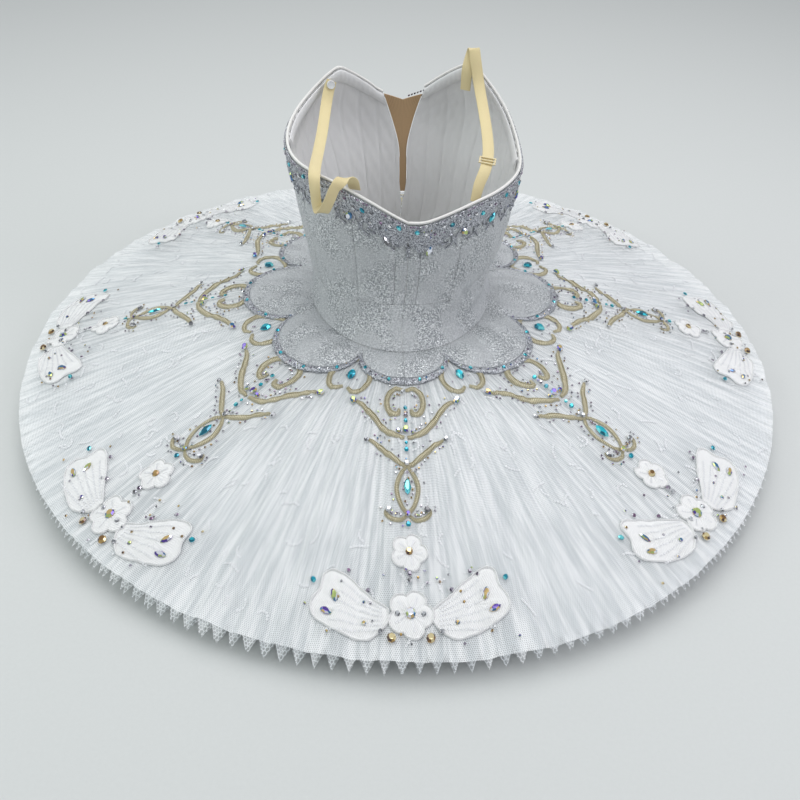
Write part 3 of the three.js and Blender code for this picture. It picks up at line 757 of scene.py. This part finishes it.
class TUTU_OT_neck_lace(bpy.types.Operator):
    """Make the glitter lace under the neckline, with its scrolls, beads and stones"""
    bl_idname = "tutu.neck_lace"
    bl_label = "Neckline lace"

    def execute(self, context):
        rng = np.random.default_rng(11)
        finish = silver_lace()
        depth = settings().lace_depth / MM
        gems = []
        for side, label in SIDES:
            columns = half_columns(0.9)

            def band(azimuth, depth=depth):
                lobe = np.abs(np.sin(np.radians(azimuth * 7.5))) ** 0.5
                deep = depth * 0.6 + depth * 0.75 * lobe + 9 * np.exp(-((azimuth / 20) ** 2))
                return neck_height(azimuth) - deep, neck_height(azimuth) - 0.2

            def glitter(a, z):
                return 1.7 + 0.35 * np.sin(a * 9) * np.sin(z * 2.1)

            outer = side_face(side, columns, band, glitter, 30)
            inner = side_face(side, columns, band, 0.6, 30)
            shapes = [wall(outer, inner)]
            for centre in np.arange(14, 340, 25.5):
                curl = np.linspace(0, 2.3 * np.pi, 34)
                size = 10.5 * (1 - curl / 9.5)
                path = np.stack([side * (centre + size * np.sin(curl)), 30 + size * np.cos(curl)], -1)
                shapes.append(cord(path, 1.5, 1.8, 0.5, 0.3).placed(on_bodice))
                leaf = smooth_path([(side * (centre - 8), 22), (side * (centre - 15), 33),
                                    (side * (centre - 12), 43)], 6)
                shapes.append(cord(leaf, [1.6] * 6 + [1.2] * 4 + [0.5] * 3, 1.5, 0.5, 0.3).placed(on_bodice))
            cloth(f"neck_lace_{label}", shapes, finish)
            for i, u in enumerate(np.arange(9, 372, 9)):
                kind, r = (("teal", 2.6), ("clear", 2.4), ("smoke", 1.8), ("clear", 2.0))[i % 4]
                gems.append(stone(rng, kind, (side * u, 8 + 3 * (i % 3)), r, r, 1.7).placed(on_bodice))
            for u in np.arange(3, 376, 3.1):
                tone = ("smoke", "clear")[rng.integers(2)]
                gems.append(stone(rng, tone, (side * u, 1.7), 1.25, 1.25, 1.6).placed(on_bodice))
            for u in rng.uniform(4, 370, 90):
                tone = ("smoke", "clear", "ab")[rng.integers(3)]
                spot = (side * u, rng.uniform(5, 34))
                gems.append(stone(rng, tone, spot, 1.0, 1.0, 1.2).placed(on_bodice))
            for u, d, kind, turn in ((22, 34, "clear" if side < 0 else "ab", 20), (60, 27, "ab", -25),
                                     (96, 26, "teal", 25), (150, 24, "ab", 0), (205, 26, "teal", 0),
                                     (262, 26, "ab", 0), (318, 26, "teal", 0)):
                gems.append(stone(rng, kind, (side * u, d), 3.3, 6, 1.9, side * turn, 1).placed(on_bodice))
        piece("stones_neckline", gems, stones(), smooth=False)
        return {"FINISHED"}


class TUTU_OT_piping(bpy.types.Operator):
    """Make the piping round the neckline and the padded bands inside the cups"""
    bl_idname = "tutu.piping"
    bl_label = "Piping and cup bands"

    def execute(self, context):
        white = satin("piping_satin", (0.88, 0.87, 0.84), 0.5)
        pad = satin("band_satin", (0.88, 0.88, 0.88), 0.42)
        for side, label in SIDES:
            columns = half_columns(1.0)
            z = neck_height(side * squeeze(columns, INSERT_TOP))
            azimuth = side * squeeze(columns, insert_edge(z) - CUP_GAP)
            turn = np.radians(np.arange(0, 360, 36))[:, None]
            points = body_point(azimuth, z, 1.7 * np.cos(turn) - 1.6)
            points[..., 2] = z + 2.0 + 1.7 * np.sin(turn)
            rows = points.transpose(1, 0, 2)
            quads = outward(rows, grid(len(columns), 10, True))
            ends = caps(10, len(columns))
            uv = np.stack(np.broadcast_arrays(np.arange(len(columns))[:, None] * 0.002, turn.T * 0.002), -1)
            piece(f"neck_piping_{label}_cord", Shape(rows, [quads, *ends], uv), white,
                  [f"neck_piping_{label}"])
            columns = np.linspace(88.5, 180, 90)

            def band(azimuth):
                return neck_height(azimuth) - 16, neck_height(azimuth) - 0.3

            share = np.sin(np.pi * np.linspace(0, 1, 44))[:, None] ** 0.6
            outer = side_face(side, columns, band, -4.6)
            inner = side_face(side, columns, band, lambda a, z, share=share: -4.9 - 2.9 * share
                              - 0.3 * np.sin(a * 2.2))
            made = piece(f"pad_cup_band_{label}", wall(outer, inner), pad, [f"cup_band_{label}"])
        return {"FINISHED"}


class TUTU_OT_insert(bpy.types.Operator):
    """Make the nude mesh insert between the cups"""
    bl_idname = "tutu.insert"
    bl_label = "Nude insert"

    def execute(self, context):
        levels = np.linspace(219, 334, 50)
        share = np.linspace(-1, 1, 25)
        top = neck_height(180)
        z = levels[:, None] + np.abs(share) * np.clip((levels[:, None] - 300) / 34, 0, 1) * 7
        edge = 180 - insert_edge(z) - CUP_GAP
        azimuth = 180 + share * np.maximum(edge, 2.0 * (z < 262))
        azimuth = np.where(azimuth > 180, azimuth - 360, azimuth)
        outer, inner = (body_point(azimuth, np.minimum(z, top + 8), offset) for offset in (0, -1.2))
        finish = elastic("nude_mesh", (0.56, 0.37, 0.2))
        cloth("nude_insert", wall(outer, inner), finish)
        return {"FINISHED"}


class TUTU_OT_peplum(bpy.types.Operator):
    """Make the scalloped peplum and its lace cord with stones"""
    bl_idname = "tutu.peplum"
    bl_label = "Peplum"

    def execute(self, context):
        rng = np.random.default_rng(5)
        silver, lace = brocade(), silver_lace()
        gems = []
        for side, label in SIDES:
            azimuth = side * np.linspace(GAP, 180 - GAP, 260)

            def face(lift, azimuth=azimuth):
                share = np.linspace(0, 1, 26)[:, None]
                start = body_point(azimuth, BASQUE_FOOT, ROOT_INSET)
                root = np.hypot(start[..., 0], start[..., 1])
                radius = root + (scallop_radius(azimuth) - root) * share
                wide = np.minimum(1, 6 * (radius[-1] - root) / (PLATE_RADIUS - root))
                puff = 5 * np.sin(np.pi * share) * wide
                crease = 1.3 * np.sin(azimuth * 0.55 + 2 * share) * np.sin(np.pi * share) * wide
                return plate_point(azimuth, radius, lift + puff + crease)

            outer, inner = face(2.2), face(0.6)
            cloth(f"peplum_{label}", wall(outer, inner), silver)
            reach = np.linspace(0, LACE_CORD, 9)[:, None]
            bead = 0.5 * np.sin(azimuth * 5.5) * np.sin(reach * 1.9)
            dome = 2.1 * np.sin(np.pi * (reach + 0.6) / 10.2) ** 0.5
            picot = 0.7 * np.sin(azimuth * 4.6) * (reach / LACE_CORD)
            radius = scallop_radius(azimuth) + 0.3 + reach + picot
            outer, inner = plate_point(azimuth, radius, 1.0 + dome + bead), plate_point(azimuth, radius, 0.6)
            cloth(f"peplum_lace_{label}", wall(outer, inner), lace)
            for i, a in enumerate(np.arange(3.5, 180, 2.8)):
                kind, r = ("teal", 2.3) if i % 4 == 1 else (("smoke", "clear", "ab")[i % 3], 1.5)
                spot = (0, float(scallop_radius(side * a)) + 5)
                gems.append(stone(rng, kind, spot, r, r, 3.0).placed(on_plate(side * a)))
        piece("stones_peplum", gems, stones(), smooth=False)
        return {"FINISHED"}


def net_uv(azimuth, radius):
    return np.stack([np.radians(azimuth) * 0.47, radius * MM], -1)


class TUTU_OT_net(bpy.types.Operator):
    """Make the top net and the dagged tiers under it"""
    bl_idname = "tutu.net"
    bl_label = "Plate of net"

    def execute(self, context):
        azimuth = np.linspace(-180, 180, NET_COLUMNS, endpoint=False)
        root = np.hypot(*body_point(azimuth, BASQUE_FOOT, ROOT_INSET)[:, :2].T) + 1
        radius = root + (hem_radius(azimuth) - root) * np.linspace(0, 1, NET_ROWS)[:, None]
        points = plate_point(azimuth, radius, -0.7)
        uv = net_uv(np.broadcast_to(azimuth, radius.shape), radius)
        top = Shape(points, grid(NET_ROWS, NET_COLUMNS, True)[:, ::-1], uv)
        cloth("net_top", top, tulle("sequin_net", 0.0021, 0.62, 0.2))
        rng = np.random.default_rng(3)
        points_round = settings().dag_points
        for index, (root_z, hem, hem_z) in enumerate(TIERS):
            count = points_round * DAG_COLUMNS
            azimuth = np.linspace(-180, 180, count, endpoint=False)
            phase = (np.arange(count) % DAG_COLUMNS) / DAG_COLUMNS
            dag = 1 - np.abs(2 * phase - 1)
            long = np.repeat(rng.uniform(0.6, 1.0, points_round), DAG_COLUMNS)
            rows = 12 if index < 3 else 7
            cut_back = (1 - dag) * long * DAG_DEPTH / (hem - 130)
            share = np.linspace(0, 1, rows)[:, None] * (1 - cut_back)
            start = knicker_point(azimuth, root_z, 1.2)
            a = np.radians(azimuth)
            end = np.stack([hem * np.sin(a), -hem * np.cos(a), np.full(count, hem_z)], -1)
            points = start + share[..., None] * (end - start)
            wave = np.sin(a * (37 + 4 * index) + index) * np.sin(a * 5 + index)
            droop = 9 * np.clip((share - 0.93) / 0.07, 0, 1) ** 2 * (1 if hem > 470 else 0)
            lift = (1.2 * wave + 0.5 * np.sin(a * 131)) * np.clip(share * (1.4 - share), 0, 0.4)
            points[..., 2] = np.maximum(points[..., 2] + lift - droop, 1.0)
            radius = np.hypot(points[..., 0], points[..., 1])
            net = Shape(points, grid(rows, count, True)[:, ::-1],
                        net_uv(np.broadcast_to(azimuth, radius.shape), radius))
            cell = (0.003, 0.0042, 0.0036)[index % 3]
            cover = 0.66 if index < 3 else 1.15
            finish = tulle(f"net_{index + 2}", cell, cover, 0.3 if index < 3 else 0.1)
            cloth(f"net_tier_{index + 2}", net, finish)
        return {"FINISHED"}


GUSSET_HALF = 0.0009  # half its thickness, in metres
LEG_CENTRE = np.array((60, -18))
LEG_HALF = np.array((31, 68))


class TUTU_OT_knickers(bpy.types.Operator):
    """Make the knickers, folded flat underneath"""
    bl_idname = "tutu.knickers"
    bl_label = "Knickers"

    def execute(self, context):
        finish = satin("knicker_cotton", (0.8, 0.8, 0.78), 0.7)
        z = np.linspace(2.2, 133.4, 24)[:, None]
        for node, first in (("knickers_back", -90), ("knickers_front", 90)):
            azimuth = np.linspace(first + GAP, first + 180 - GAP, 110)

            def gather(azimuth=azimuth):
                return -0.5 + 0.45 * np.sin(azimuth * 1.7) * np.sin(z * 0.05)

            outer, inner = knicker_point(azimuth, z, gather()), knicker_point(azimuth, z, -1.5)
            cloth(node, wall(outer, inner), finish)
        outline = knicker_point(np.linspace(-180, 180, 96, endpoint=False), 2.2, -0.6)[:, :2]
        turn = np.linspace(0, 2 * np.pi, 64, endpoint=False)
        flat = bpy.data.curves.new("gusset_cut", "CURVE")
        flat.dimensions = "2D"
        flat.fill_mode = "BOTH"
        flat.extrude = GUSSET_HALF
        legs = [LEG_CENTRE * (side, 1) + LEG_HALF * np.stack([np.cos(turn), np.sin(turn)], -1)
                for side in (-1, 1)]
        for loop in (outline, *legs):
            line = flat.splines.new("POLY")
            line.points.add(len(loop) - 1)
            spots = np.column_stack([loop * MM, np.zeros(len(loop)), np.ones(len(loop))])
            line.points.foreach_set("co", spots.ravel())
            line.use_cyclic_u = True
        drawn = bpy.data.objects.new("gusset_cut", flat)
        mesh = bpy.data.meshes.new_from_object(drawn)
        bpy.data.objects.remove(drawn)
        mesh.transform(Matrix.Translation((0, 0, GUSSET_HALF)))
        mesh.materials.clear()
        mesh.materials.append(finish)
        made = bpy.data.objects.new("cloth_knickers_gusset", mesh)
        bpy.context.scene.collection.objects.link(made)
        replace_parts(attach(made, BODY), "knickers_gusset")
        return {"FINISHED"}


# Straps: a point on the middle line and the turn of the width from +X, in degrees.
STRAPS = {
    "left": ((-86, 71, 372, 30), (-90, 64, 361, 14), (-93, 48, 348, 6), (-96, 10, 335, 0),
             (-99, -35, 330, -4), (-100, -70, 333, -14), (-100, -95, 333, -24), (-99, -106, 320, -30),
             (-97, -109, 304, -26), (-91, -117, 302, -4), (-84, -121, 316, 20), (-77, -118, 331, 30),
             (-68, -109, 336, 24), (-60, -101, 331, 4), (-57, -92, 316, -16)),
    "right": ((73, 73, 362, -34), (74, 76, 386, -22), (79, 85, 402, -8), (81, 82, 407, -6),
              (83, 76, 397, -4), (88, 64, 372, 0), (92, 40, 354, 6), (94, 5, 341, 10),
              (93, -30, 332, 14), (88, -58, 326, 18), (80, -74, 313, 22), (76, -82, 297, 30)),
}


STRAP_HALF = (6.5, 0.6)  # half width and half thickness


def strap_frame(rows):
    """A strap's middle line, with its directions along, across and out of the face."""
    rows = np.array(rows, float)
    line = smooth_path(rows[:, :3], 8)
    turn = np.radians(np.interp(np.linspace(0, len(rows) - 1, len(line)), np.arange(len(rows)), rows[:, 3]))
    way = direction(line)
    across = np.stack([np.cos(turn), np.sin(turn), 0 * turn], -1)
    across -= (across * way).sum(1)[:, None] * way
    across /= np.linalg.norm(across, axis=1)[:, None]
    return line, way, across, np.cross(way, across)


class TUTU_OT_straps(bpy.types.Operator):
    """Make the elastic shoulder straps, the button and the slider"""
    bl_idname = "tutu.straps"
    bl_label = "Straps and fastenings"

    def execute(self, context):
        finish = elastic("strap_elastic", tuple(settings().elastic_colour))
        section = np.array([(-1, -0.4), (-0.94, -1), (0.94, -1), (1, -0.4), (1, 0.4), (0.94, 1),
                            (-0.94, 1), (-1, 0.4)]) * STRAP_HALF
        spots = {}
        for label, rows in STRAPS.items():
            line, way, across, face = strap_frame(rows)
            s, h = section.T[..., None]
            points = line[:, None] + s * across[:, None] + h * face[:, None]
            far = travelled(line)
            uv = np.stack(np.broadcast_arrays(section[:, 0] * MM, far[:, None] * MM), -1)
            quads = outward(points, grid(len(line), 8, True))
            ends = caps(8, len(line))
            made = piece(f"cloth_strap_{label}", Shape(points, [quads, *ends], uv), finish,
                         [f"strap_{label}"])
            spots[label] = (line, way, across, face)
        line, way, across, face = (x[3] for x in spots["left"])
        turn = np.linspace(0, 2 * np.pi, 24, endpoint=False)[:, None]
        disc = np.cos(turn) * across + np.sin(turn) * way
        rings = ((0.1, 0), (5, 0), (5.1, 0.9), (4.7, 2.1), (4.2, 2.2), (3.7, 1.4), (0.1, 1.3))
        points = np.array([line + disc * r + face * (0.9 + h) for r, h in rings])
        piece("button_clear", Shape(points, grid(len(rings), 24, True)),
              gloss("clear_plastic", (0.82, 0.84, 0.85), 0.08), ["strap_button"])
        at = int(0.79 * (len(spots["right"][0]) - 1))
        line, way, across, face = (x[at] for x in spots["right"])
        bars = []
        for height, half in ((-5, 9.5), (0, 9.5), (5, 9.5)):
            bars.append((line + way * height - across * half, line + way * height + across * half))
        for half in (-8.6, 8.6):
            bars.append((line - way * 5 + across * half, line + way * 5 + across * half))
        shapes = []
        for first, last in bars:
            run = (last - first) / np.linalg.norm(last - first)
            beside = np.cross(run, face)
            share = np.linspace(0, 1, 9)[:, None, None]
            ring = np.cos(turn) * beside + np.sin(turn) * face
            points = first + share * (last - first) + ring * 0.95 + face * 1.7
            shapes.append(Shape(points, [outward(points, grid(9, 24, True)), *caps(24, 9)]))
        piece("slider_coated", shapes, gloss("coated_slider", (0.8, 0.68, 0.4), 0.3),
              ["strap_slider"])
        return {"FINISHED"}


# Gold scrolls of one repeat on its +X side: across and out, then the widest half width.
SCROLLS = (
    (((1, 203), (12, 201), (21, 209), (23, 222), (18, 234), (10, 236), (7, 229)), 3.0),
    (((62, 223), (52, 228), (40, 240), (29, 252), (16, 262), (2, 266)), 3.2),
    (((44, 271), (33, 276), (21, 286), (9, 296), (0, 300)), 2.6),
    (((0, 300), (8, 311), (12, 326), (8, 342), (0, 354)), 2.0),
    (((0, 354), (8, 359), (17, 359), (24, 353), (22, 346)), 1.7),
)
HEART = (((0, 162), (9, 168), (20, 178), (26, 192), (22, 206), (12, 211), (3, 206)), 2.8)
WING = ((22, 449), (38, 438), (56, 424), (76, 415), (87, 419), (91, 434), (99, 446), (98, 458),
        (84, 467), (62, 474), (42, 476), (24, 463))


class TUTU_OT_embroidery(bpy.types.Operator):
    """Make the gold scrolls and hearts, the white lace flowers and butterflies, and their stones"""
    bl_idname = "tutu.embroidery"
    bl_label = "Embroidery and stones"

    def execute(self, context):
        rng = np.random.default_rng(8)
        gold, lace, rounds, gems, half, heart = [], [], [], [], [], []
        for points, widest in SCROLLS:
            for shape in ribbon(smooth_path(points, 7), widest):
                half += [shape, mirrored(shape)]
        for shape in ribbon(smooth_path(HEART[0], 7), HEART[1]):
            heart += [shape, mirrored(shape)]
        wing = smooth_path([*WING, WING[0]], 7)[:-1]
        white = []
        for side in (1, -1):
            edge = (wing * (side, 1))[::side]
            white += [blob(edge, 1.3, rib=0.18), cord(np.concatenate([edge, edge[:2]]), 0.9, 2.0, 0.3, 0.2)]
        for centre, radius in (((0, 453), 23), ((0, 393), 19)):
            edge = petals(centre, radius, turn=12)
            white += [blob(edge, 1.5, rib=0.22), cord(np.concatenate([edge, edge[:2]]), 0.8, 2.0, 0.3, 0.2)]
        chains = []
        for side in (1, -1):
            for row in range(6):
                first = np.array((side * 27, 449 + 3.6 * row))
                last = np.array((side * (72 + 3 * row), 424 + 9.5 * row))
                for share in np.linspace(0.05, 0.92, 16):
                    chains.append(sequin(first + share * (last - first), 1.1, 2.0))
        for centre, radius in (((0, 453), 17), ((0, 393), 13)):
            for angle in np.radians(np.arange(12, 372, 72)):
                for share in (0.45, 0.62, 0.79, 0.96):
                    spot = np.array(centre) + share * radius * np.array((np.sin(angle), np.cos(angle)))
                    chains.append(sequin(spot, 1.1, 2.0))
        # The stones of one repeat: kind, across, out, half width, half length, turn and how pointed.
        main = [("teal", 0, 229, 2.6, 2.6, 0, 0), ("smoke", 0, 238, 2.2, 2.2, 0, 0),
                ("teal", 0, 246, 2.6, 2.6, 0, 0), ("ab", 0, 257, 4, 4.6, 0, 0), ("ab", -9, 259, 3, 3, 0, 0),
                ("ab", 9, 259, 3, 3, 0, 0), ("teal", 0, 274, 2, 2, 0, 0), ("teal", 0, 282, 2.8, 2.8, 0, 0),
                ("clear", 0, 298, 3, 3, 0, 0), ("teal", 0, 325, 4.2, 9, 0, 1), ("ab", 0, 354, 3, 3, 0, 0),
                ("teal", 0, 365, 2.9, 2.9, 0, 0), ("smoke", 0, 309, 1.6, 1.6, 0, 0),
                ("amber", 0, 393, 4, 4, 0, 0), ("smoke", 0, 415, 2.6, 2.6, 0, 0),
                ("clear", 0, 421, 2.8, 2.8, 0, 0), ("ab", 0, 453, 5, 5.5, 0, 0),
                ("clear", -3, 206, 2.6, 2.6, 0, 0)]
        for side in (1, -1):
            main += [("ab", side * 66, 223, 4.3, 4.3, 0, 0), ("clear", side * 47, 272, 3, 3, 0, 0),
                     ("clear", side * 21, 350, 3.6, 3.6, 0, 0),
                     ("ab", side * 76, 440, 3.4, 6.2, side * 18, 1),
                     ("ab", side * 84, 455, 3.4, 6.2, side * 75, 1),
                     ("amber", side * 19, 476, 4.6, 4.6, 0, 0),
                     ("teal", side * 98, 428, 2.9, 2.9, 0, 0), ("clear", side * 13, 453, 2.6, 2.6, 0, 0),
                     ("smoke", side * 62, 415, 2.2, 2.2, 0, 0), ("smoke", side * 42, 431, 2.2, 2.2, 0, 0),
                     ("clear", side * 30, 470, 2.4, 2.4, 0, 0), ("ab", side * 46, 462, 2.2, 2.2, 0, 0)]
        for k in range(REPEATS):
            base = k * PITCH
            base = base - 360 if base > 180 else base
            even, between = on_plate(base), on_plate(base + PITCH / 2 + 0.7)
            gold += [shape.placed(even) for shape in half] + [shape.placed(between) for shape in heart]
            lace += [shape.placed(even) for shape in white]
            rounds += [shape.placed(even) for shape in chains]
            for kind, u, v, wide, long, turn, point in main:
                gems.append(stone(rng, kind, (u, v), wide, long, 2.2, turn, point).placed(even))
            gems.append(stone(rng, "teal", (0, 188), 5.2, 7, 1.2, 0, 0.6).placed(between))
            for points, widest in SCROLLS:
                path = smooth_path(points, 3)
                for spot, (x, y) in zip(path[1:-1], direction(path)[1:-1]):
                    for side in (1, -1):
                        hand = (-1, 1)[rng.integers(2)] * (widest + rng.uniform(3, 6))
                        at = (side * (spot[0] - y * hand), spot[1] + x * hand)
                        kind = ("smoke", "ab", "clear", "amber", "smoke")[rng.integers(5)]
                        gems.append(stone(rng, kind, at, 1.3, 1.3, 0.6).placed(even))
            for u, v in rng.uniform((-112, 405), (112, 486), (26, 2)):
                kind = ("smoke", "ab", "clear", "amber")[rng.integers(4)]
                gems.append(stone(rng, kind, (u, v), 1.5, 1.5, 1.9).placed(even))
            for u, v in rng.uniform((-20, 170), (20, 206), (6, 2)):
                gems.append(stone(rng, "smoke", (u, v), 1.1, 1.1, 0.7).placed(between))
        for _ in range(settings().sequin_lines):
            azimuth, radius = rng.uniform(-180, 180), 500 * math.sqrt(rng.uniform(0.19, 0.93))
            heading, bend = rng.uniform(0, 6.3), rng.uniform(-0.6, 0.6)
            u, v = 0.0, radius
            for _ in range(rng.integers(3, 8)):
                if v < 486:
                    rounds.append(sequin((u, v), 1.3, 0.3).placed(on_plate(azimuth)))
                heading += bend
                u, v = u + 3 * math.sin(heading), v + 3 * math.cos(heading)
        piece("gold_scrolls", gold, gold_cord())
        piece("lace_motifs", lace, white_lace())
        piece("sequins", rounds, gloss("sequin_film", (0.93, 0.94, 0.96), 0.12), smooth=False)
        piece("stones_plate", gems, stones(), smooth=False)
        return {"FINISHED"}


FLOOR_HALF = 6000
SKY_COLOUR = (0.93, 0.96, 1, 1)
SKY_STRENGTH = 0.45
# Lamps: name, place and width in metres, watts and colour; all of them face AIM.
LAMPS = (("overhead", (0.1, 0.5, 2.4), 1.8, 32, (1, 1, 1)),
         ("left", (-2.0, -0.6, 1.5), 1.2, 14, (0.92, 1, 0.96)),
         ("right", (1.9, -0.9, 1.4), 1.0, 14, (0.96, 0.94, 1)))
AIM = Vector((0, 0, 0.15))
CAMERA_PLACE = (-0.0393, -0.9675, 0.7685)
CAMERA_TURNS = (40.7, 2.5, 1.73)  # degrees down, to the right and rolled
LENS_LENGTH = 39.76
SENSOR_WIDTH = 36


class TUTU_OT_stage(bpy.types.Operator):
    """Make the floor, the soft studio lights and the camera"""
    bl_idname = "tutu.stage"
    bl_label = "Stage"

    def execute(self, context):
        scene = context.scene
        f = Finish("pale_floor")
        colour = tuple(settings().floor_colour)
        grain = f.noise(240, 4, 0.7)
        finish = f.done(Base_Color=f.mix(grain, tuple(c * 0.93 for c in colour), colour), Roughness=0.85,
                        Normal=f.bump(grain, 0.15, 0.0005))
        corners = [(x * FLOOR_HALF, y * FLOOR_HALF, 0) for x, y in ((-1, -1), (1, -1), (1, 1), (-1, 1))]
        floor = piece("floor", Shape(corners, [np.array([[0, 1, 2, 3]])]), finish, ride=False)
        world = bpy.data.worlds.new("studio")
        world.use_nodes = True
        sky = world.node_tree.nodes["Background"]
        sky.inputs[0].default_value = SKY_COLOUR
        sky.inputs[1].default_value = SKY_STRENGTH
        scene.world = world
        for name, spot, width, power, colour in LAMPS:
            lamp = bpy.data.lights.new(name, "AREA")
            lamp.size, lamp.energy, lamp.color = width, power, colour
            holder = bpy.data.objects.new(name, lamp)
            holder.location = spot
            holder.rotation_euler = (AIM - Vector(spot)).to_track_quat("-Z", "Y").to_euler()
            scene.collection.objects.link(holder)
        lens = bpy.data.cameras.new("camera")
        lens.lens = LENS_LENGTH
        lens.sensor_width = SENSOR_WIDTH
        pitch, yaw, roll = (math.radians(turn) for turn in CAMERA_TURNS)
        ahead = Vector((math.sin(yaw) * math.cos(pitch), math.cos(yaw) * math.cos(pitch), -math.sin(pitch)))
        right = Vector((math.cos(yaw), -math.sin(yaw), 0))
        up = right.cross(ahead)
        x = math.cos(roll) * right + math.sin(roll) * up
        y = -math.sin(roll) * right + math.cos(roll) * up
        camera = bpy.data.objects.new("camera", lens)
        camera.matrix_world = (Matrix.Translation(CAMERA_PLACE)
                               @ Matrix((x, y, -ahead)).transposed().to_4x4())
        scene.collection.objects.link(camera)
        scene.camera = camera
        scene.view_settings.view_transform = "Standard"
        return {"FINISHED"}


OPERATORS = (TUTU_OT_knickers, TUTU_OT_net, TUTU_OT_lining, TUTU_OT_bodice, TUTU_OT_insert,
             TUTU_OT_piping, TUTU_OT_neck_lace, TUTU_OT_peplum, TUTU_OT_embroidery, TUTU_OT_straps,
             TUTU_OT_stage)


class TUTU_PT_panel(bpy.types.Panel):
    """The tutu's pieces, in the order they are made"""
    bl_label = "Ballet tutu"
    bl_idname = "TUTU_PT_panel"
    bl_space_type = "VIEW_3D"
    bl_region_type = "UI"
    bl_category = "Tutu"

    def draw(self, context):
        for name in TutuSettings.__annotations__:
            self.layout.prop(context.scene.tutu, name)
        for operator in OPERATORS:
            self.layout.operator(operator.bl_idname)


CLASSES = (TutuSettings, *OPERATORS, TUTU_PT_panel)


def register():
    for each in CLASSES:
        bpy.utils.register_class(each)
    bpy.types.Scene.tutu = bpy.props.PointerProperty(type=TutuSettings)


def unregister():
    del bpy.types.Scene.tutu
    for each in reversed(CLASSES):
        bpy.utils.unregister_class(each)


def main():
    register()
    for operator in OPERATORS:
        getattr(bpy.ops.tutu, operator.bl_idname.split(".")[1])()
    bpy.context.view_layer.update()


if __name__ == "__main__":
    main()
